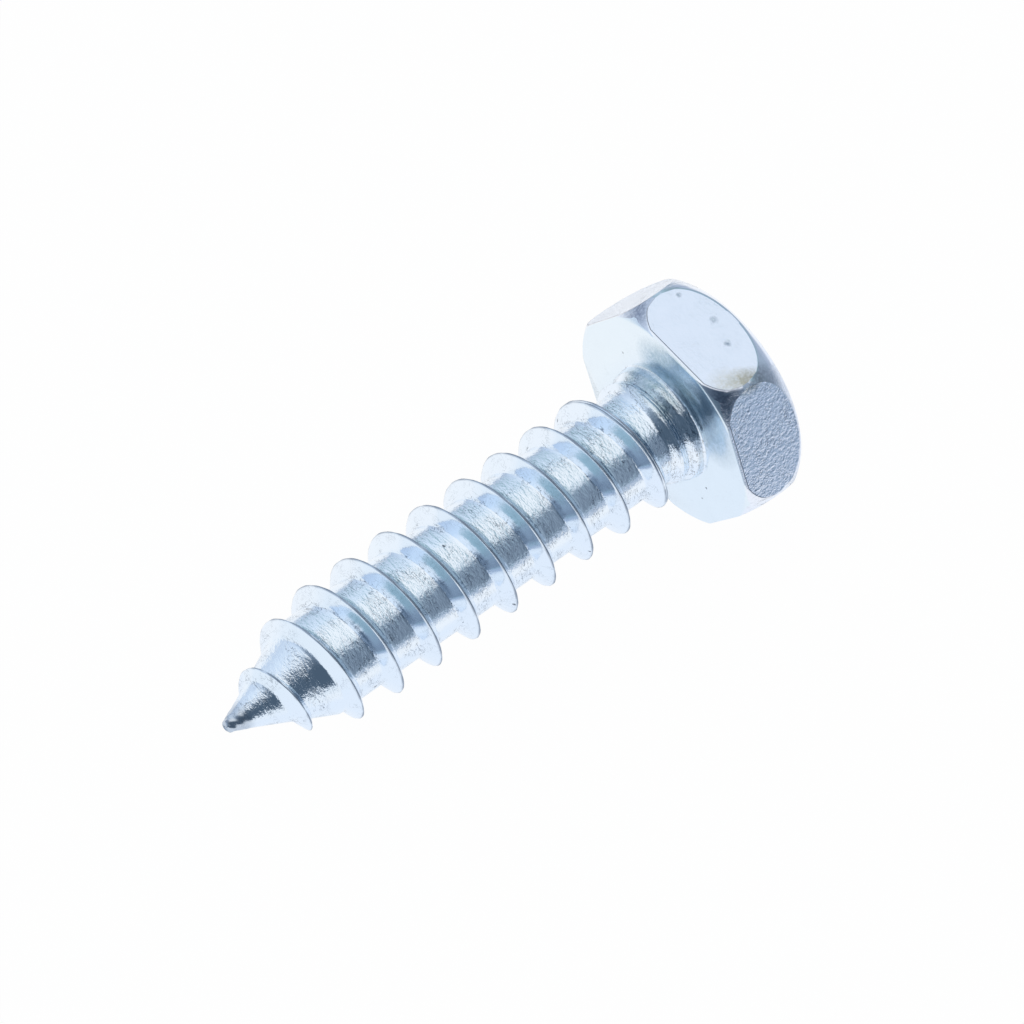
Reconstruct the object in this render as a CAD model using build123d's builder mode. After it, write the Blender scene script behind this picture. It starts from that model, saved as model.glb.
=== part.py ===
from build123d import *
import math
import os

# A hex head sheet metal screw, cold headed and thread rolled from one steel blank, in millimetres.
# It lies as it comes to rest: on one flat of its head and on the thread's lowest crest near the point.

# Head: a hex whose corners are rolled off towards both faces, so that each flat shows as an oval
across_flats = 7.7
head_height = 2.88
corner_cut = 0.09
bearing_margin = 0.26
crown_bevel = 0.7
edge_break = 0.06
wall_bottom = 1.0
wall_height = 0.35

# Shank: its lengths run from the bearing face under the head down to the tip
shank_length = 18.5
core_dia = 3.46
neck_dia = 3.8
neck_length = 1.0
collar_dia = 4.2
collar_length = 0.32
collar_flare = 0.2
point_length = 3.5
tip_dia = 0.24

# Thread: a 60 degree ridge with a narrow crest and a wide flat root, one start, right handed
pitch = 1.6
major_dia = 4.58
crest_width = 0.12
thread_angle = 60
thread_clocking = -65.7

# Thread ends: the ridge grows along the point, and sinks to a low rib that runs into the collar
tip_thread_dia = 0.6
tip_thread_start = 0.3
taper_length = 4.6
taper_fullness = 1.3
runout_start = 1.75
runout_length = 1.15
runout_rise = 0.05
thread_end = 0.35

# The helical edges are drawn through this many points a turn, and the ridge's foot is sunk this deep
points_per_turn = 16
foot_depth = 0.12

# Sizes that follow from those above
corner_dia = across_flats / math.cos(math.pi / 6) - corner_cut
bearing_dia = across_flats + bearing_margin
crown_dia = across_flats - crown_bevel
neck_start = shank_length - neck_length
neck_top = shank_length - collar_length - (collar_dia - neck_dia) / 2


def core_radius(station):
    """Radius of the shank without its thread, at a distance from the tip."""
    if station < point_length:
        share = max(station, 0) / point_length
        return (tip_dia + (core_dia - tip_dia) * share) / 2
    if station > neck_start:
        share = min((station - neck_start) / (neck_top - neck_start) * 2, 1)
        return (core_dia + (neck_dia - core_dia) * share) / 2
    return core_dia / 2


def crest_radius(station):
    """Radius of the thread's crest: it grows over the point and fades out below the head."""
    if station < taper_length:
        share = max(station, 0) / taper_length
        growth = math.sin(share * math.pi / 2) ** taper_fullness
        return (tip_thread_dia + (major_dia - tip_thread_dia) * growth) / 2
    share = (station - shank_length + runout_start) / runout_length
    fade = (1 + math.cos(math.pi * min(max(share, 0), 1))) / 2
    rib_dia = neck_dia + 2 * runout_rise
    return (rib_dia + (major_dia - rib_dia) * fade) / 2


def crest_station(turn):
    """Distance from the tip at which the crest stands, at a turn counted from the upper flat."""
    return pitch * (turn - thread_clocking / 360)


def turn_at(station):
    """Turn, counted from the upper flat, at which the crest stands at a distance from the tip."""
    return station / pitch + thread_clocking / 360


first_turn = turn_at(tip_thread_start)
last_turn = turn_at(shank_length - thread_end)
ridge_count = math.ceil(last_turn - first_turn)
ridge_turns = (last_turn - first_turn) / ridge_count

# Rest: the screw leans on the lower flat's edge near the bearing face and on one crest under its axis
flat_foot = shank_length + edge_break
lean_angles = []
for whole_turn in range(math.ceil(first_turn - 0.5), math.floor(last_turn - 0.5)):
    station = crest_station(whole_turn + 0.5)
    drop = across_flats / 2 - crest_radius(station)
    lean_angles.append(math.atan2(drop, flat_foot - station + crest_width / 2))
rest_tilt = min(lean_angles)
tip_height = across_flats / 2 * math.cos(rest_tilt) - flat_foot * math.sin(rest_tilt)
screw_length = shank_length + head_height
lying_length = screw_length * math.cos(rest_tilt) + crown_dia / 2 * math.sin(rest_tilt)

# The screw's own plane: its origin is the tip, its normal runs along the axis to the head,
# and its x direction is the way that the head's upper flat faces
axis_direction = Vector(math.cos(rest_tilt), 0, math.sin(rest_tilt))
upper_flat = Vector(-math.sin(rest_tilt), 0, math.cos(rest_tilt))
tip = Vector(-lying_length / 2, 0, tip_height)
own_plane = Plane(origin=tip, x_dir=upper_flat, z_dir=axis_direction)
section_plane = Plane(origin=tip, x_dir=upper_flat, z_dir=-own_plane.y_dir)
bearing_plane = own_plane.offset(shank_length)
screw_axis = Axis(tip, axis_direction)


def helical_edge(radius_at, side, at_foot, start, end):
    """One long edge of the ridge between two turns: its crest's edge, or its foot's inside the core."""
    steps = max(round((end - start) * points_per_turn), 2)
    shares = [step / steps for step in range(steps + 1)]
    points = []
    for share in shares:
        turn = start + (end - start) * share
        centre = crest_station(turn)
        half_width = crest_width / 2
        if at_foot:
            ridge_height = max(crest_radius(centre) - core_radius(centre), 0) + foot_depth
            half_width += ridge_height * math.tan(math.radians(thread_angle / 2))
        station = centre + side * half_width
        radius = radius_at(station)
        if at_foot:
            radius -= min(foot_depth, radius / 2)
        angle = 2 * math.pi * turn
        points.append(own_plane.from_local_coords((radius * math.cos(angle), radius * math.sin(angle), station)))
    return Edge.make_spline(points, parameters=shares)


def thread_ridge(start, end):
    """The ridge between two turns as a closed solid: four ruled faces between its edges, and two ends."""
    edges = [
        helical_edge(core_radius, 1, True, start, end),
        helical_edge(crest_radius, 1, False, start, end),
        helical_edge(crest_radius, -1, False, start, end),
        helical_edge(core_radius, -1, True, start, end),
    ]
    faces = []
    for edge, next_edge in zip(edges, edges[1:] + edges[:1]):
        faces.append(Face.make_surface_from_curves(edge, next_edge))
    for position in (0, 1):
        outline = Wire.make_polygon([edge @ position for edge in edges])
        faces.append(Face.make_surface(outline))
    return Solid(Shell(faces))


with BuildPart() as sheet_metal_screw:
    # Head: a hex prism, cut to the barrel form that rolls its corners off
    with BuildSketch(bearing_plane):
        RegularPolygon(radius=across_flats / 2, side_count=6, major_radius=False, rotation=30)
    extrude(amount=head_height)
    with BuildSketch(section_plane):
        with BuildLine():
            bearing_edge = (bearing_dia / 2, shank_length)
            wall_foot = (corner_dia / 2, shank_length + wall_bottom)
            wall_top = (corner_dia / 2, shank_length + wall_bottom + wall_height)
            crown_edge = (crown_dia / 2, screw_length)
            TangentArc(wall_foot, bearing_edge, tangent=(0, -1))
            Line(wall_foot, wall_top)
            TangentArc(wall_top, crown_edge, tangent=(0, 1))
            Polyline(crown_edge, (0, screw_length), (0, shank_length), bearing_edge)
        make_face()
    revolve(axis=screw_axis, mode=Mode.INTERSECT)
    bearing_face = sheet_metal_screw.faces().sort_by(screw_axis)[0]
    chamfer(bearing_face.edges().filter_by(GeomType.LINE), length=edge_break)

    # Shank: point, core, neck and the small collar under the head, in one turned profile
    with BuildSketch(section_plane):
        with BuildLine():
            Polyline(
                (collar_dia / 2 + collar_flare, shank_length),
                (collar_dia / 2, shank_length - collar_flare),
                (collar_dia / 2, shank_length - collar_length),
                (neck_dia / 2, neck_top),
                (neck_dia / 2, (neck_start + neck_top) / 2),
                (core_dia / 2, neck_start),
                (core_dia / 2, point_length),
                (tip_dia / 2, 0),
                (0, 0),
                (0, shank_length + head_height / 2),
                (collar_dia / 2 + collar_flare, shank_length + head_height / 2),
                (collar_dia / 2 + collar_flare, shank_length),
            )
        make_face()
    revolve(axis=screw_axis)

    # Thread: the ridge, about a turn at a time
    for number in range(ridge_count):
        ridge_start = first_turn + ridge_turns * number
        add(thread_ridge(ridge_start, ridge_start + ridge_turns))
sheet_metal_screw.part.label = "sheet_metal_screw"

os.makedirs("parts", exist_ok=True)
export_step(sheet_metal_screw.part, "parts/sheet_metal_screw.step")
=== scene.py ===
import math

import bpy
import numpy as np
from mathutils import Matrix, Vector


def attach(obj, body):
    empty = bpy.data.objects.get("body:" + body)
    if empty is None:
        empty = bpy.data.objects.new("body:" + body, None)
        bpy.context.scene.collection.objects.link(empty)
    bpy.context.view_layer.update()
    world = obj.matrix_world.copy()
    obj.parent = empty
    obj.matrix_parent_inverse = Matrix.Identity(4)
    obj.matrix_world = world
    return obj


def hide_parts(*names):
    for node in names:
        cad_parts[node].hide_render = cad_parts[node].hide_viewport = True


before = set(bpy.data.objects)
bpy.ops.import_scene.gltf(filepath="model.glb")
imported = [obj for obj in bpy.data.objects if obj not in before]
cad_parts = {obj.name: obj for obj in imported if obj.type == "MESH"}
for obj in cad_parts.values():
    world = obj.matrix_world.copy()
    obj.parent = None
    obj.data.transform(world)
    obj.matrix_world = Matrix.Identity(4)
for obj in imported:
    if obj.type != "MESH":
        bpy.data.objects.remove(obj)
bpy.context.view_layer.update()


# Head of the screw: steel wire upset cold in a die, so that its hex has no sharp corners. Each flat is an
# oval between two rolled-off bevels. It is modelled in millimetres along the screw's own axis, with the tip
# at zero and the upper flat towards +X, and it is put in its place once it is one piece with the shank.
across_flats = 7.7
head_height = 2.88
corner_cut = 0.09
bearing_margin = 0.26
crown_bevel = 0.7
wall_bottom = 1.0
wall_height = 0.35
shank_length = 18.5
edge_line = 0.03
edge_round = 0.04
rim_step = 0.012
least_bevel = 0.09
columns = 288

wall_radius = across_flats / math.sqrt(3) - corner_cut / 2
bearing_radius = (across_flats + bearing_margin) / 2
crown_radius = (across_flats - crown_bevel) / 2

# The screw lies on its lower flat's edge and on one crest near the point
rest_tilt = math.radians(6.2702)
tip = Vector((-10.8172, 0, 1.7999)) / 1000
axis_direction = Vector((math.cos(rest_tilt), 0, math.sin(rest_tilt)))
upper_flat = Vector((-math.sin(rest_tilt), 0, math.cos(rest_tilt)))
turned = Matrix((upper_flat, axis_direction.cross(upper_flat), axis_direction)).transposed()


def linear(hex_colour):
    """A colour written as sRGB hex, turned linear, with full alpha."""
    levels = [int(hex_colour[place:place + 2], 16) / 255 for place in (1, 3, 5)]
    return [level / 12.92 if level <= 0.04045 else ((level + 0.055) / 1.055) ** 2.4 for level in levels] + [1]


def add_node(tree, kind, settings=None, links=None):
    """Adds a node, sets its properties or its inputs by name or number, and links its inputs."""
    node = tree.nodes.new(kind)
    for name, value in (settings or {}).items():
        if isinstance(name, str) and hasattr(node, name):
            setattr(node, name, value)
        else:
            node.inputs[name].default_value = value
    for name, source in (links or {}).items():
        tree.links.new(source, node.inputs[name])
    return node


def spots_mask(tree, where, spots, core=0.5):
    """How far each place lies inside one of some round spots: 1 in a spot's core, and 0 outside them all.

    A spot is given as (x, y, z, radius), and its core as a share of the radius.
    """
    mask = None
    for x, y, z, radius in spots:
        off = add_node(tree, "ShaderNodeVectorMath", {"operation": "DISTANCE", 1: (x, y, z)}, {0: where})
        spot = add_node(tree, "ShaderNodeMapRange", {"From Min": radius, "From Max": radius * core},
                        {"Value": off.outputs["Value"]})
        if mask is None:
            mask = spot.outputs[0]
        else:
            mask = add_node(tree, "ShaderNodeMath", {"operation": "MAXIMUM"},
                            {0: mask, 1: spot.outputs[0]}).outputs[0]
    return mask


# Dark colour of painted shade, for pits and for the root's folds
pit_and_fold_shade_colour = "#5b6675"
worn_roughness = 0.35


def bright_zinc(name, colour, worn_colour, roughness, reliefs, crease_sizes, crease_width, crease_shade_depth, pits,
                stains_and_painted_tints=()):
    """Bright zinc plating with a clear blue passivate, on steel whose own skin shows through it.

    Reliefs are layers of unevenness, each as its size round the axis, its size along it and its depth, in mm.
    The finest layer is the plating's own grain, drawn coarser than it is so that it shows. Creases are thin
    folds and scuffs, darkened with painted shade, and pits are dark spots of painted shade. Coloured spots are
    stain marks, but those round the collar carry a painted teal reflection, and those on the bearing face are
    painted teal reflection and shade.
    """
    finish = bpy.data.materials.new(name)
    finish.use_nodes = True
    tree = finish.node_tree
    tree.nodes.clear()
    place = add_node(tree, "ShaderNodeTexCoord")
    own = add_node(tree, "ShaderNodeMapping",
                   {"vector_type": "TEXTURE", "Location": tip, "Rotation": turned.to_euler(),
                    "Scale": (0.001, 0.001, 0.001)}, {"Vector": place.outputs["Object"]}).outputs["Vector"]
    relief_share = add_node(tree, "ShaderNodeAttribute", {"attribute_name": "relief"}).outputs["Fac"]
    wear = add_node(tree, "ShaderNodeAttribute", {"attribute_name": "wear"}).outputs["Fac"]
    patch = add_node(tree, "ShaderNodeTexNoise", {"Scale": 1.4, "Detail": 1.0}, {"Vector": own})
    patch_share = add_node(tree, "ShaderNodeMapRange", {"From Min": 0.38, "From Max": 0.6, "To Min": 0.75},
                           {"Value": patch.outputs["Fac"]})
    strength = add_node(tree, "ShaderNodeMath", {"operation": "MULTIPLY"},
                        {0: relief_share, 1: patch_share.outputs[0]})
    normal = None
    for round_size, long_size, depth in reliefs:
        stretched = add_node(tree, "ShaderNodeMapping",
                             {"Scale": (1 / round_size, 1 / round_size, 1 / long_size)}, {"Vector": own})
        layer = add_node(tree, "ShaderNodeTexNoise", {"Scale": 1.0, "Detail": 2.0, "Roughness": 0.6},
                         {"Vector": stretched.outputs["Vector"]})
        bump = add_node(tree, "ShaderNodeBump", {"Distance": depth / 1000},
                        {"Height": layer.outputs["Fac"], "Strength": strength.outputs[0]})
        if normal:
            tree.links.new(normal, bump.inputs["Normal"])
        normal = bump.outputs["Normal"]

    # Creases run where a noise passes its middle value, and only in patches, and get painted shade there
    round_size, long_size = crease_sizes
    drawn = add_node(tree, "ShaderNodeMapping", {"Scale": (1 / round_size, 1 / round_size, 1 / long_size)},
                     {"Vector": own})
    folds = add_node(tree, "ShaderNodeTexNoise",
                     {"Scale": 1.0, "Detail": 3.0, "Roughness": 0.65, "Distortion": 0.5},
                     {"Vector": drawn.outputs["Vector"]})
    middle = add_node(tree, "ShaderNodeMath", {"operation": "SUBTRACT", 1: 0.5}, {0: folds.outputs["Fac"]})
    apart = add_node(tree, "ShaderNodeMath", {"operation": "ABSOLUTE"}, {0: middle.outputs[0]})
    crease = add_node(tree, "ShaderNodeMapRange", {"From Min": crease_width, "From Max": 0.0},
                      {"Value": apart.outputs[0]})
    patchy = add_node(tree, "ShaderNodeMapRange", {"From Min": 0.45, "From Max": 0.57},
                      {"Value": patch.outputs["Fac"]})
    creased = add_node(tree, "ShaderNodeMath", {"operation": "MULTIPLY"},
                       {0: crease.outputs[0], 1: patchy.outputs[0]})
    crease_share = add_node(tree, "ShaderNodeMath", {"operation": "MULTIPLY", "use_clamp": True, 1: 3.0},
                            {0: relief_share})
    creased = add_node(tree, "ShaderNodeMath", {"operation": "MULTIPLY"},
                       {0: creased.outputs[0], 1: crease_share.outputs[0]})
    darkened = add_node(tree, "ShaderNodeMath", {"operation": "MULTIPLY", 1: crease_shade_depth},
                        {0: creased.outputs[0]})

    # Spots are drawn on coordinates that waver a little, so that none is a plain disc
    waver = add_node(tree, "ShaderNodeTexNoise", {"Scale": 7.0, "Detail": 2.0}, {"Vector": own})
    wavered = add_node(tree, "ShaderNodeVectorMath", {"operation": "MULTIPLY_ADD", 1: (0.16, 0.16, 0.16)},
                       {0: waver.outputs["Color"], 2: own})
    centred = add_node(tree, "ShaderNodeVectorMath", {"operation": "SUBTRACT", 1: (0.08, 0.08, 0.08)},
                       {0: wavered.outputs[0]})
    # Folds and pits are made dark with painted shade
    dark = darkened.outputs[0]
    if pits:
        pitted = spots_mask(tree, centred.outputs[0], pits)
        dark = add_node(tree, "ShaderNodeMath", {"operation": "MAXIMUM"}, {0: dark, 1: pitted}).outputs[0]
    base = add_node(tree, "ShaderNodeMix", {"data_type": "RGBA", 6: linear(colour), 7: linear(worn_colour)},
                    {0: wear}).outputs[2]
    cloud = add_node(tree, "ShaderNodeTexNoise", {"Scale": 9.0, "Detail": 4.0, "Roughness": 0.7},
                     {"Vector": own})
    mottle = add_node(tree, "ShaderNodeMapRange",
                      {"From Min": 0.3, "From Max": 0.65, "To Min": 0.5, "To Max": 1.3},
                      {"Value": cloud.outputs["Fac"]})
    # Coloured spots: stain marks, and on the collar and the bearing face a painted teal reflection and shade
    for x, y, z, radius, spot_colour in stains_and_painted_tints:
        spot_cover = spots_mask(tree, centred.outputs[0], [(x, y, z, radius)], 0.0)
        mottled = add_node(tree, "ShaderNodeMath", {"operation": "MULTIPLY", "use_clamp": True},
                           {0: spot_cover, 1: mottle.outputs[0]})
        base = add_node(tree, "ShaderNodeMix", {"data_type": "RGBA", 7: linear(spot_colour)},
                        {0: mottled.outputs[0], 6: base}).outputs[2]
    base = add_node(tree, "ShaderNodeMix", {"data_type": "RGBA", 7: linear(pit_and_fold_shade_colour)},
                    {0: dark, 6: base}).outputs[2]
    gloss = add_node(tree, "ShaderNodeMapRange", {"To Min": roughness * 0.75, "To Max": roughness * 1.3},
                     {"Value": patch.outputs["Fac"]})
    duller = add_node(tree, "ShaderNodeMath", {"operation": "MULTIPLY_ADD", 1: worn_roughness},
                      {0: wear, 2: gloss.outputs["Result"]})
    shader = add_node(tree, "ShaderNodeBsdfPrincipled", {"Metallic": 1.0},
                      {"Base Color": base, "Roughness": duller.outputs[0], "Normal": normal})
    add_node(tree, "ShaderNodeOutputMaterial", {}, {"Surface": shader.outputs["BSDF"]})
    return finish


# Five finishes of the same plated steel, by how the steel under the zinc was left
finishes = [
    # Rolled between flat dies: flanks like mirrors, a root drawn into fine folds darkened with painted shade,
    # a few pits of painted shade, and a dull dark crest
    bright_zinc("bright_zinc_on_rolled_thread", "#ecf5ff", "#9aa4b3", 0.10,
                [(0.5, 0.2, 0.020), (0.13, 0.06, 0.013), (0.04, 0.03, 0.003)], (0.38, 0.13), 0.026, 0.85,
                [(-0.16, 2.19, 10.20, 0.10), (-0.14, 2.22, 13.41, 0.08), (0.14, -2.09, 15.74, 0.07),
                 (1.73, -0.13, 9.05, 0.07), (-0.30, 1.70, 16.08, 0.09), (-0.19, 1.72, 4.81, 0.08)],
                # Round the collar: dull patches whose teal tint is a painted reflection of the room
                [(1.7, -1.15, 18.15, 0.8, "#a3b8c4"), (2.0, -0.4, 18.1, 0.75, "#a3b8c0"),
                 (1.95, 0.4, 18.0, 0.6, "#b4c6cc")]),
    # Struck against the die: orange peel, but for the upper flat, which is nearly smooth and has a brown stain
    bright_zinc("bright_zinc_on_die_struck_flats", "#e5eefd", "#e5eefd", 0.14,
                [(0.14, 0.14, 0.044), (0.06, 0.06, 0.015)], (0.35, 0.25), 0.012, 0.8, [],
                [(3.86, -0.34, 20.5, 0.17, "#9aa9bb"), (3.86, -0.34, 20.5, 0.09, "#d5e0ec"),
                 (3.86, 0.63, 20.25, 0.14, "#9aa9bb"), (3.86, 0.55, 20.35, 0.08, "#d5e0ec"),
                 (3.86, -1.74, 20.26, 0.12, "#a9b6c6"), (3.86, 1.75, 19.20, 0.7, "#d3d7d8"),
                 (3.86, 2.0, 19.7, 0.6, "#bdbdb2"), (3.86, 2.1, 20.0, 0.5, "#a3a49c")]),
    # Left free by the die: a finely grained sheen, darker in patches on the two corners beside the upper flat
    bright_zinc("bright_zinc_on_rolled_off_corners", "#f0f5ff", "#f0f5ff", 0.15,
                [(0.11, 0.06, 0.010), (0.05, 0.05, 0.018)], (0.30, 0.2), 0.010, 0.5, [],
                [(3.62, 2.09, 18.9, 1.0, "#9ea4b6"), (3.62, -2.09, 18.9, 0.9, "#9ba3b4"),
                 (3.7, 2.2, 20.3, 0.6, "#94979f"), (3.5, 2.4, 20.7, 0.7, "#b4b9c4")]),
    # Where the steel met the die's edge: a thin dull line below each flat, darkened with painted shade
    bright_zinc("bright_zinc_with_painted_edge_shade", "#8a91a1", "#8a91a1", 0.4,
                [(0.10, 0.10, 0.02)], (0.30, 0.3), 0.04, 0.6, []),
    # Pressed flat by the die's face: an even satin mirror, with a painted teal reflection and shade on the
    # upper side of the bearing face, and a few pits of painted shade
    bright_zinc("bright_zinc_on_upset_faces", "#ebf5fd", "#ebf5fd", 0.19,
                [(0.3, 0.3, 0.004), (0.05, 0.05, 0.002)], (0.45, 0.45), 0.003, 0.3,
                [(-1.16, 2.36, 18.5, 0.05), (1.47, -2.2, 18.5, 0.05), (-1.91, 2.27, 18.5, 0.04)],
                # Painted teal reflection and shade on the upper side of the bearing face
                [(2.7, -0.55, 18.5, 1.2, "#96b4ca"), (3.1, 0.3, 18.5, 1.4, "#b0c4cc"),
                 (2.5, 1.4, 18.5, 1.3, "#b0c6d0"), (1.8, 2.2, 18.5, 1.3, "#b7c8d4")]),
]

# The shank and its collar keep the first finish, which is number 0
flat_finish, corner_finish, edge_shade_finish, face_finish = range(1, len(finishes))


def deselect_all():
    bpy.ops.object.select_all(action="DESELECT")


def ringed_solid(name, rings, vertices):
    """A solid of revolution about Z: a circle extruded from ring to ring, closed at both ends."""
    deselect_all()
    bottom, radius = rings[0]
    bpy.ops.mesh.primitive_circle_add(vertices=vertices, radius=radius, fill_type="NGON",
                                      location=(0, 0, bottom))
    solid = bpy.context.object
    solid.name = name
    bpy.ops.object.transform_apply()
    bpy.ops.object.mode_set(mode="EDIT")
    bpy.ops.mesh.select_all(action="SELECT")
    for height, next_radius in rings[1:]:
        bpy.ops.mesh.extrude_region_move(TRANSFORM_OT_translate={"value": (0, 0, height - bottom)})
        share = next_radius / radius
        bpy.ops.transform.resize(value=(share, share, 1), center_override=(0, 0, height))
        bottom = height
        radius = next_radius
    bpy.ops.mesh.select_all(action="SELECT")
    bpy.ops.mesh.normals_make_consistent(inside=False)
    bpy.ops.object.mode_set(mode="OBJECT")
    return solid


def apply_modifier(piece, kind, **settings):
    """Adds one modifier to a piece with its settings, and applies it."""
    deselect_all()
    piece.select_set(True)
    bpy.context.view_layer.objects.active = piece
    modifier = piece.modifiers.new(kind.lower(), kind)
    for setting, value in settings.items():
        setattr(modifier, setting, value)
    bpy.ops.object.modifier_apply(modifier=modifier.name)


def join(piece, other):
    """Joins a piece with another one, which is used up."""
    apply_modifier(piece, "BOOLEAN", object=other, operation="UNION", solver="EXACT")
    bpy.data.objects.remove(other)


def points_of(piece):
    """The points of a piece as one array, a row each."""
    points = np.empty(len(piece.data.vertices) * 3)
    piece.data.vertices.foreach_get("co", points)
    return points.reshape(-1, 3)


def arc_radius(end_radius, height, distance):
    """Radius of the barrel at a distance from its wall, on an arc that is upright there and ends narrower."""
    change = wall_radius - end_radius
    bend = (change ** 2 + height ** 2) / (2 * change)
    return wall_radius - bend + np.sqrt(bend ** 2 - np.clip(distance, 0, height) ** 2)


def arc_distance(end_radius, height, radius):
    """Distance from the wall at which the same arc has come down to a radius."""
    change = wall_radius - end_radius
    bend = (change ** 2 + height ** 2) / (2 * change)
    return np.sqrt(np.clip(bend ** 2 - (bend - np.clip(wall_radius - radius, 0, change)) ** 2, 0, None))


# Rows of the head: bearing rim, rolled-off bevel, edge line, flat, edge line, bevel and crown rim
rim_rows = 3
bevel_rows = 7
flat_rows = 5
crown_rows = 14
low_line = rim_rows + bevel_rows
high_line = low_line + 1 + flat_rows + 1
last_row = high_line + 1 + crown_rows + rim_rows

# Degrees from a flat's middle up to which a face counts as the flat's, where a corner is at 30
flat_reach = 29
screw = ringed_solid("hex_head_screw", [(row, 1.0) for row in range(last_row + 1)], columns)
for finish in finishes:
    screw.data.materials.append(finish)
for face in screw.data.polygons:
    row = face.center.z
    off_flat = abs((math.degrees(math.atan2(face.center.y, face.center.x)) + 30) % 60 - 30)
    if len(face.vertices) > 4 or row < rim_rows:
        face.material_index = face_finish
    elif off_flat >= flat_reach or not low_line < row < high_line:
        face.material_index = corner_finish
    else:
        # The row below each flat takes the thin line of painted shade
        face.material_index = edge_shade_finish if row < low_line + 1 else flat_finish

# The columns that are nearest to the ends of a flat are moved onto them
snap_reach = 0.65
points = points_of(screw)
angle = np.arctan2(points[:, 1], points[:, 0])
off_flat = np.abs((np.degrees(angle) + 30) % 60 - 30)
flat_end = math.degrees(math.acos(across_flats / 2 / wall_radius))
snapped = np.where(np.abs(off_flat - flat_end) < snap_reach, flat_end, off_flat)
angle += np.radians((snapped - off_flat) * np.sign((np.degrees(angle) + 30) % 60 - 30))
flat_radius = across_flats / 2 / np.cos(np.radians(snapped))

# Each row gets its place along the axis, where the barrel sets how far out the flat's edges run
wall_foot = shank_length + wall_bottom
wall_top = wall_foot + wall_height
crown_drop = head_height - wall_bottom - wall_height
crown = shank_length + head_height
flat_low = np.maximum(wall_foot - arc_distance(bearing_radius, wall_bottom, flat_radius),
                      shank_length + least_bevel)
flat_high = wall_top + arc_distance(crown_radius, crown_drop, flat_radius)
stations = np.array([
    np.full(len(points), shank_length), np.full(len(points), shank_length + rim_step),
    np.full(len(points), shank_length + edge_round)]
    + [shank_length + edge_round + (flat_low - edge_line - shank_length - edge_round) * step / bevel_rows
       for step in range(1, bevel_rows + 1)]
    + [flat_low + edge_line]
    + [flat_low + edge_line * 2 + (flat_high - flat_low - edge_line * 4) * (step / flat_rows)
       for step in range(flat_rows + 1)]
    + [flat_high - edge_line]
    + [flat_high + edge_line + (crown - edge_round * 1.5 - flat_high - edge_line) * (step / crown_rows)
       for step in range(crown_rows + 1)]
    + [np.full(len(points), crown - edge_round * 0.5), np.full(len(points), crown - edge_round * 0.12),
       np.full(len(points), crown)])
row = np.round(points[:, 2]).astype(int)
station = stations[row, np.arange(len(points))]
barrel_radius = np.where(station < wall_foot,
                         arc_radius(bearing_radius, wall_bottom, wall_foot - station),
                         arc_radius(crown_radius, crown_drop, station - wall_top))
rim = np.select([row == 0, row == 1, row == last_row, row == last_row - 1, row == last_row - 2],
                [edge_round, rim_step, edge_round * 1.5, edge_round * 0.6, edge_round * 0.12], 0)
radius = np.minimum(flat_radius, barrel_radius) - rim
points = np.stack([radius * np.cos(angle), radius * np.sin(angle), station], axis=1)
screw.data.vertices.foreach_set("co", points.ravel())
screw.data.update()


# Shank and thread of the screw: a blank rolled between flat dies, which press a narrow sharp ridge out of a
# slimmer core and run it up to the point. It is one edge chain turned by a screw modifier, so that its rows
# follow the thread, and each point is then set to the height that the rolled steel has there.
core_dia = 3.46
neck_dia = 3.8
neck_length = 1.0
collar_length = 0.32
point_length = 3.5
tip_dia = 0.24
pitch = 1.6
major_dia = 4.58
crest_width = 0.03
thread_clocking = -65.7
tip_thread_dia = 0.6
taper_length = 4.6
taper_fullness = 1.3
runout_start = 1.75
runout_length = 1.15
runout_rise = 0.05
root_round = 0.03
crest_round = 0.012
ridge_start = 0.55
ridge_start_length = 0.8
flare_start = 0.14
flare_length = 0.34
collar_foot = 17.6
lump_length = 0.9
seam_station = 16.0
seam_reach = 0.85
seam_size = 0.05
steps_per_turn = 96
rows_per_pitch = 44
row_crowding = 1.35
collar_columns = 192
buried_length = 0.9

deselect_all()
bpy.ops.mesh.primitive_grid_add(x_subdivisions=1, y_subdivisions=rows_per_pitch, size=1)
shank = bpy.context.object
shank.name = "shank"
bpy.ops.object.mode_set(mode="EDIT")
bpy.ops.mesh.select_all(action="DESELECT")
bpy.ops.object.mode_set(mode="OBJECT")
for vertex in shank.data.vertices:
    vertex.select = vertex.co.x < 0
bpy.ops.object.mode_set(mode="EDIT")
bpy.ops.mesh.delete(type="VERT")
bpy.ops.object.mode_set(mode="OBJECT")

# The chain stands along the axis, with its points closest together at the ridge's crest and flanks
first_crest = -pitch * thread_clocking / 360 - pitch
for vertex in shank.data.vertices:
    share = vertex.co.y * 2
    spread = math.copysign(abs(share) ** row_crowding, share) / 2
    vertex.co = (core_dia / 2, 0, first_crest + spread * pitch)
turns = math.ceil((shank_length + buried_length - first_crest) / pitch + 0.5)
apply_modifier(shank, "SCREW", angle=2 * math.pi, screw_offset=pitch, iterations=turns,
               steps=steps_per_turn, render_steps=steps_per_turn, axis="Z", use_merge_vertices=True,
               merge_threshold=0.0005, use_normal_calculate=True)


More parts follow.
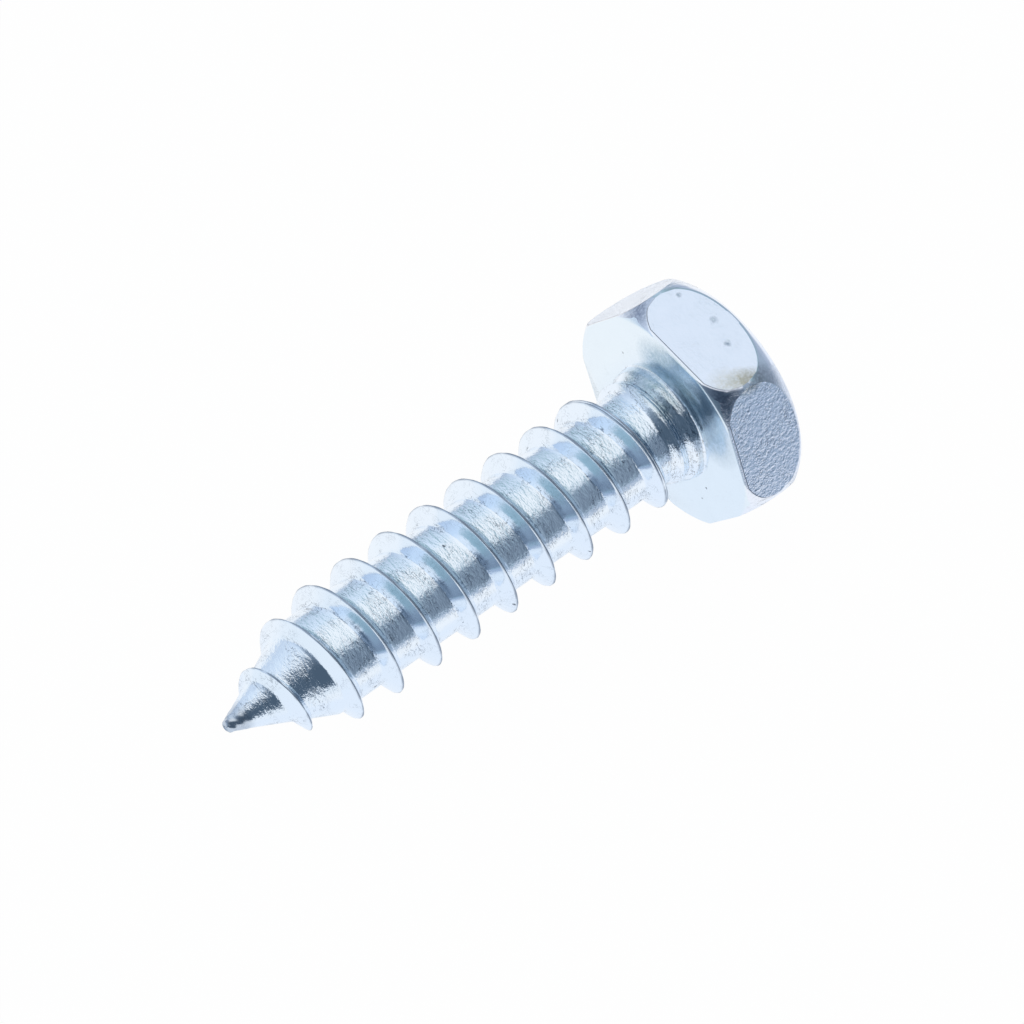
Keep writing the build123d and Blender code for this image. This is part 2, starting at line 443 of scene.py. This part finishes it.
def thread_sizes(angle, station):
    """For places round and along the axis: how far off the crest they are, and the crest's and core's radii."""
    phase = station / pitch - angle / (2 * math.pi) + thread_clocking / 360
    off_crest = (phase - np.round(phase)) * pitch
    crest_station = station - off_crest
    taper = np.clip(crest_station / taper_length, 0, 1)
    growth = np.sin(taper * math.pi / 2) ** taper_fullness
    fade_share = np.clip((crest_station - shank_length + runout_start) / runout_length, 0, 1)
    fade = (1 + np.cos(math.pi * fade_share)) / 2
    rib_dia = neck_dia + 2 * runout_rise
    growing = tip_thread_dia + (major_dia - tip_thread_dia) * growth
    start = np.clip((crest_station - ridge_start) / ridge_start_length, 0, 1)
    growing = tip_dia + (growing - tip_dia) * start
    fading = rib_dia + (major_dia - rib_dia) * fade
    crest_radius = np.where(crest_station < taper_length, growing, fading) / 2
    neck_share = np.clip((station - shank_length + neck_length + flare_start) / flare_length, 0, 1)
    neck_share = neck_share ** 2 * (3 - 2 * neck_share)
    cone_share = np.clip(station / point_length, 0, 1)
    core_radius = (tip_dia + (core_dia - tip_dia) * cone_share + (neck_dia - core_dia) * neck_share) / 2
    return off_crest, crest_radius, core_radius


points = points_of(shank)
angle = np.arctan2(points[:, 1], points[:, 0])
station = points[:, 2]
off_crest, crest_radius, core_radius = thread_sizes(angle, station)
crest_station = station - off_crest

# On the last full turn the rolled ridge did not close: its crest is wider there, with a seam along it.
# All along, the crest wavers by a hundredth of a millimetre.
seam = np.clip(1 - np.abs(crest_station - seam_station) / seam_reach, 0, 1) ** 0.5
half_width = crest_width / 2 + seam_size * seam
rounded_top = np.hypot(np.maximum(np.abs(off_crest) - half_width, 0), crest_round) - crest_round
waves = 0.006 * np.sin(crest_station * 37) + 0.004 * np.sin(crest_station * 91 + 1) - 0.01
groove = seam_size * seam * np.exp(-(off_crest / 0.022) ** 2)
flank = crest_radius + waves - rounded_top * math.sqrt(3) - groove
blend = np.hypot(core_radius - flank, root_round)
radius = (core_radius + flank + blend) / 2

# The very tip is a rough lump of folded steel
lump = np.clip(1 - station / lump_length, 0, 1)
folds = 0.012 * np.sin(3 * angle + 14 * station) + 0.010 * np.sin(5 * angle - 23 * station)
radius += lump * (0.045 + folds)

# Both ends close on the axis: round at the tip, and inside the head at the other end
tip_share = np.clip(station / (tip_dia / 2), 0, 1)
radius *= np.sqrt(1 - (1 - tip_share) ** 2)
shank_end = shank_length + buried_length
radius = np.minimum(radius, np.clip((shank_end - station) * 4, 0, None))
points[:, 0] = radius * np.cos(angle)
points[:, 1] = radius * np.sin(angle)
points[:, 2] = np.clip(station, 0, shank_end)
shank.data.vertices.foreach_set("co", points.ravel())

deselect_all()
shank.select_set(True)
bpy.context.view_layer.objects.active = shank
bpy.ops.object.mode_set(mode="EDIT")
bpy.ops.mesh.select_all(action="SELECT")
bpy.ops.mesh.remove_doubles(threshold=0.001)
bpy.ops.mesh.dissolve_degenerate(threshold=0.0005)
bpy.ops.mesh.normals_make_consistent(inside=False)
bpy.ops.object.mode_set(mode="OBJECT")

# The low collar under the head, as stations and radii: the rolled steel gathers in a few fine rings, each
# with a groove before it, and then the collar rises
collar_rings = [(collar_foot, 1.78), (17.66, 1.90)]
for ring in (17.70, 17.78, 17.87):
    collar_rings += [(ring, 1.915), (ring + 0.014, 1.887), (ring + 0.034, 1.887), (ring + 0.048, 1.92)]
collar_rings += [(17.97, 1.945), (18.04, 2.0), (18.11, 2.055), (18.18, 2.085), (18.26, 2.1), (18.36, 2.105),
                 (18.44, 2.115), (18.48, 2.14), (18.50, 2.17), (18.80, 2.20)]
collar = ringed_solid("collar", collar_rings, collar_columns)

# The rings and the collar's slope waver round the neck
sloping_end = 18.3
points = points_of(collar)
angle = np.arctan2(points[:, 1], points[:, 0])
sloping = points[:, 2] < sloping_end
points[:, 2] += np.where(sloping, 0.035 * np.sin(angle + 0.6) + 0.012 * np.sin(5 * angle), 0)
collar.data.vertices.foreach_set("co", points.ravel())
collar.data.update()
join(screw, collar)
join(screw, shank)

# For the finish: how worn each point is, as the thread's crest and its very tip are, and how much of the
# relief shows there. It is strongest on the point, and weakest on the thread's flanks and on the upper flat.
point_relief = 2.0
root_relief = 0.9
flank_loss = 0.88
collar_relief = 0.8
flat_reliefs = np.array([0.06, 1.0, 0.6, 0.8, 0.5, 0.7])
points = points_of(screw)
angle = np.arctan2(points[:, 1], points[:, 0])
station = points[:, 2]
off_crest, crest_radius, core_radius = thread_sizes(angle, station)
rise = (np.hypot(points[:, 0], points[:, 1]) - core_radius) / np.maximum(crest_radius - core_radius, 0.05)
rise = np.where(station < shank_length - collar_length, np.clip(rise, 0, 1), 0)
wear = np.where(station < collar_foot, np.clip((rise - 0.94) / 0.04, 0, 1), 0)
wear = np.maximum(wear, 0.45 * np.clip((lump_length - station) / 0.3, 0, 1))
relief = np.where(station < 3.0, point_relief, root_relief)
relief = relief * (1 - flank_loss * np.clip((rise - 0.04) / 0.12, 0, 1))
relief = np.where((station > collar_foot) & (station < shank_length - 0.001), collar_relief, relief)
flat_number = np.round(np.degrees(angle) / 60).astype(int) % 6
relief = np.where(station > shank_length, flat_reliefs[flat_number], relief)
for name, values in (("wear", wear), ("relief", relief)):
    attribute = screw.data.attributes.new(name, "FLOAT", "POINT")
    attribute.data.foreach_set("value", values)

# Into its place: modelled millimetres along its own axis become metres as it lies
screw.matrix_world = Matrix.LocRotScale(tip, turned.to_quaternion(), Vector((0.001, 0.001, 0.001)))
deselect_all()
screw.select_set(True)
bpy.context.view_layer.objects.active = screw
bpy.ops.object.transform_apply(location=True, rotation=True, scale=True)
bpy.ops.object.shade_smooth_by_angle(angle=math.radians(28))

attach(screw, "root")
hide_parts("sheet_metal_screw")


# Studio: a plain white floor that keeps the screw's faint shadow, and a world that is white overhead and
# darker towards the side that the photographer stands on, which is what the zinc mirrors.
floor_radius = 0.16
deselect_all()
bpy.ops.mesh.primitive_circle_add(vertices=96, radius=floor_radius, fill_type="NGON", location=(0, 0, 0))
floor = bpy.context.object
floor.name = "floor"

# To the camera the paper is white. The zinc mirrors it with a painted pool of light, nearly white close by
# and duller further off and beyond the head, and with a painted shadow along under the screw.
paper = bpy.data.materials.new("white_paper")
paper.use_nodes = True
tree = paper.node_tree
tree.nodes.clear()
path = add_node(tree, "ShaderNodeLightPath")
seen = add_node(tree, "ShaderNodeMath", {"operation": "MAXIMUM"},
                {0: path.outputs["Is Camera Ray"], 1: path.outputs["Is Glossy Ray"]})
seen_too = add_node(tree, "ShaderNodeMath", {"operation": "MAXIMUM"},
                    {0: seen.outputs[0], 1: path.outputs["Is Transmission Ray"]})
share = add_node(tree, "ShaderNodeMath", {"operation": "MULTIPLY", 1: 0.985}, {0: seen_too.outputs[0]})
# Painted pool of light in the floor's reflection: it falls off away from the screw and dims beyond the head
place = add_node(tree, "ShaderNodeTexCoord")
reach = add_node(tree, "ShaderNodeVectorMath", {"operation": "DISTANCE", 1: (0.009, 0.005, 0)},
                 {0: place.outputs["Object"]})
falloff = add_node(tree, "ShaderNodeMapRange",
                   {"interpolation_type": "SMOOTHSTEP", "From Min": 0.018, "From Max": 0.030},
                   {"Value": reach.outputs["Value"]})
sides = add_node(tree, "ShaderNodeSeparateXYZ", {}, {0: place.outputs["Object"]})
headwards = add_node(tree, "ShaderNodeMapRange", {"From Min": -0.006, "From Max": 0.012},
                     {"Value": sides.outputs["X"]})
far_tone = add_node(tree, "ShaderNodeMix",
                    {"data_type": "RGBA", 6: linear("#f1f7fc"), 7: linear("#b2bfd1")},
                    {0: headwards.outputs[0]})
# Painted shadow in the floor's reflection, in a strip along under the screw
beside = add_node(tree, "ShaderNodeMath", {"operation": "ADD", 1: 0.0015}, {0: sides.outputs["Y"]})
off_axis = add_node(tree, "ShaderNodeMath", {"operation": "ABSOLUTE"}, {0: beside.outputs[0]})
under = add_node(tree, "ShaderNodeMapRange", {"From Min": 0.006, "From Max": 0.003},
                 {"Value": off_axis.outputs[0]})
near_tone = add_node(tree, "ShaderNodeMix",
                     {"data_type": "RGBA", 6: linear("#fdfeff"), 7: linear("#f1f7ff")}, {0: under.outputs[0]})
mirrored = add_node(tree, "ShaderNodeMix", {"data_type": "RGBA"},
                    {0: falloff.outputs[0], 6: near_tone.outputs[2], 7: far_tone.outputs[2]})
shown = add_node(tree, "ShaderNodeMix", {"data_type": "RGBA", 7: (1, 1, 1, 1)},
                 {0: path.outputs["Is Camera Ray"], 6: mirrored.outputs[2]})
matt = add_node(tree, "ShaderNodeBsdfDiffuse", {"Color": linear("#fbfbfb")})
glow = add_node(tree, "ShaderNodeEmission", {"Strength": 1.0}, {"Color": shown.outputs[2]})
mixed = add_node(tree, "ShaderNodeMixShader", {},
                 {0: share.outputs[0], 1: matt.outputs[0], 2: glow.outputs[0]})
add_node(tree, "ShaderNodeOutputMaterial", {}, {"Surface": mixed.outputs[0]})
floor.data.materials.append(paper)

world = bpy.data.worlds.new("studio")
bpy.context.scene.world = world
world.use_nodes = True
tree = world.node_tree
tree.nodes.clear()
heading = add_node(tree, "ShaderNodeTexCoord")
parts = add_node(tree, "ShaderNodeSeparateXYZ", {}, {0: heading.outputs["Generated"]})
upwards = parts.outputs["Z"]
sky = add_node(tree, "ShaderNodeValToRGB", {}, {"Fac": upwards})
sky_tones = ((0.0, "#cddaea"), (0.07, "#ccd9ea"), (0.27, "#d3e0f0"), (0.7, "#e5f1fd"), (0.93, "#fcfeff"))

# Beyond the head the room is duller and teal, which the thread's ridges show to each other
beyond = add_node(tree, "ShaderNodeMapRange",
                  {"interpolation_type": "SMOOTHSTEP", "From Min": 0.35, "From Max": 0.41},
                  {"Value": parts.outputs["X"]})
dull = add_node(tree, "ShaderNodeValToRGB", {}, {"Fac": parts.outputs["X"]})
dull_tones = ((0.42, "#a9c3cd"), (0.47, "#a6c1ca"), (0.53, "#99b2bc"), (0.6, "#96abb6"), (0.85, "#a4b4c4"))
for ramp, tones in ((sky, sky_tones), (dull, dull_tones)):
    for position, tone in tones[2:]:
        ramp.color_ramp.elements.new(position)
    for stop, (position, tone) in zip(ramp.color_ramp.elements, tones):
        stop.position = position
        stop.color = linear(tone)
room = add_node(tree, "ShaderNodeMix", {"data_type": "RGBA"},
                {0: beyond.outputs[0], 6: sky.outputs["Color"], 7: dull.outputs["Color"]})

# The dark side spans the photographer's half of the room, from the floor to well above the camera
flat_length = add_node(tree, "ShaderNodeVectorMath", {"operation": "MULTIPLY", 1: (1, 1, 0)},
                       {0: heading.outputs["Generated"]})
level = add_node(tree, "ShaderNodeVectorMath", {"operation": "NORMALIZE"}, {0: flat_length.outputs[0]})
dark_heading = math.radians(235)
across = add_node(tree, "ShaderNodeVectorMath",
                  {"operation": "DOT_PRODUCT", 1: (math.cos(dark_heading), math.sin(dark_heading), 0)},
                  {0: level.outputs[0]})
sideways = add_node(tree, "ShaderNodeMapRange",
                    {"interpolation_type": "SMOOTHSTEP", "From Min": 0.0, "From Max": 0.45},
                    {"Value": across.outputs["Value"]})
above_floor = add_node(tree, "ShaderNodeMapRange",
                       {"interpolation_type": "SMOOTHSTEP", "From Min": -0.05, "From Max": 0.1},
                       {"Value": upwards})
depth = add_node(tree, "ShaderNodeMapRange", {"From Min": 0.3, "From Max": 0.9},
                 {"Value": across.outputs["Value"]})
lowered = add_node(tree, "ShaderNodeMath", {"operation": "MULTIPLY_ADD", 1: -0.1},
                   {0: depth.outputs[0], 2: upwards})
below_top = add_node(tree, "ShaderNodeMapRange",
                     {"interpolation_type": "SMOOTHSTEP", "From Min": 0.89, "From Max": 0.71},
                     {"Value": lowered.outputs[0]})
upright = add_node(tree, "ShaderNodeMath", {"operation": "MULTIPLY"},
                   {0: above_floor.outputs[0], 1: below_top.outputs[0]})
dark = add_node(tree, "ShaderNodeMath", {"operation": "MULTIPLY"},
                {0: sideways.outputs[0], 1: upright.outputs[0]})
dark_tone = add_node(tree, "ShaderNodeMix", {"data_type": "RGBA", 6: linear("#96a5b6"), 7: linear("#4f6071")},
                     {0: depth.outputs[0]})
darkened_room = add_node(tree, "ShaderNodeMix", {"data_type": "RGBA"},
                         {0: dark.outputs[0], 6: room.outputs[2], 7: dark_tone.outputs[2]})
studio_light = add_node(tree, "ShaderNodeBackground", {"Strength": 1.0}, {"Color": darkened_room.outputs[2]})
backdrop = add_node(tree, "ShaderNodeBackground", {"Strength": 1.0, "Color": (1, 1, 1, 1)})
path = add_node(tree, "ShaderNodeLightPath")
world_mix = add_node(tree, "ShaderNodeMixShader", {},
                     {0: path.outputs["Is Camera Ray"], 1: studio_light.outputs[0], 2: backdrop.outputs[0]})
add_node(tree, "ShaderNodeOutputWorld", {}, {"Surface": world_mix.outputs[0]})

# Camera: a long lens from the tip's side, turned about its own axis as in the photograph
lens = bpy.data.cameras.new("camera")
lens.lens = 218.715
lens.sensor_width = 36
lens.clip_start = 0.01
camera = bpy.data.objects.new("camera", lens)
bpy.context.scene.collection.objects.link(camera)
right = Vector((0.744166, -0.649090, 0.157797))
up = Vector((0.470277, 0.676839, 0.566328))
facing = Matrix((right, up, right.cross(up))).transposed()
camera_place = Vector((-94.001, -69.453, 165.946)) / 1000
camera.matrix_world = Matrix.Translation(camera_place) @ facing.to_4x4()
bpy.context.scene.camera = camera
bpy.context.scene.view_settings.view_transform = "Standard"
